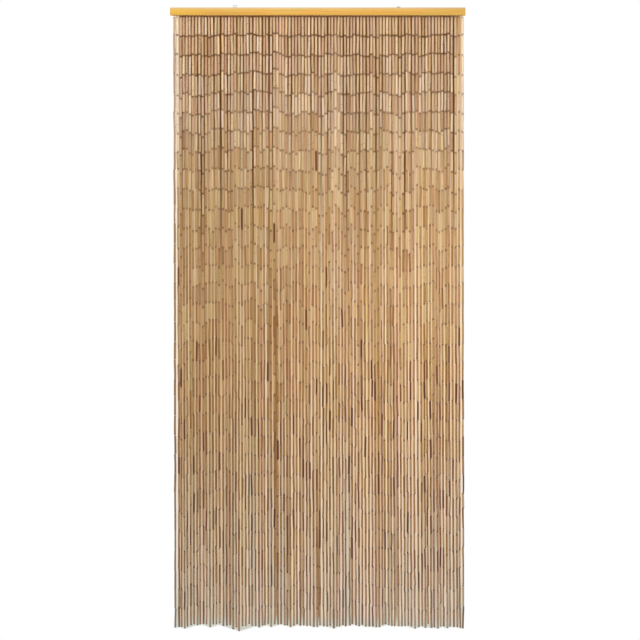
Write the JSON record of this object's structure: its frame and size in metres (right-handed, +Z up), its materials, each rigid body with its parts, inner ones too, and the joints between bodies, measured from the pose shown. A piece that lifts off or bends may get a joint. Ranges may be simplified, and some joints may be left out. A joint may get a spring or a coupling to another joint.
{
  "type": "bamboo tube door curtain with wooden hanging rail",
  "caption": "Door curtain of bamboo tubes strung on wire in close vertical strands, hung from a varnished wooden rail with screw eyes in its top.",
  "frame": {"origin": "middle of the rail's flat top face", "axes": "+Z up, X along the curtain's width with +X to the right seen from the front, front towards -Y"},
  "size_m": [1, 0.014, 2.1214],
  "materials": {
    "rail_wood": "honey-yellow gloss varnish",
    "eye_steel": "plain bright",
    "bamboo": "natural bamboo, smooth, tan to brown"
  },
  "bodies": {
    "root": {"rail": "rail_wood", "eye_left": "eye_steel", "eye_right": "eye_steel", "strands": "bamboo"}
  },
  "joints": []
}
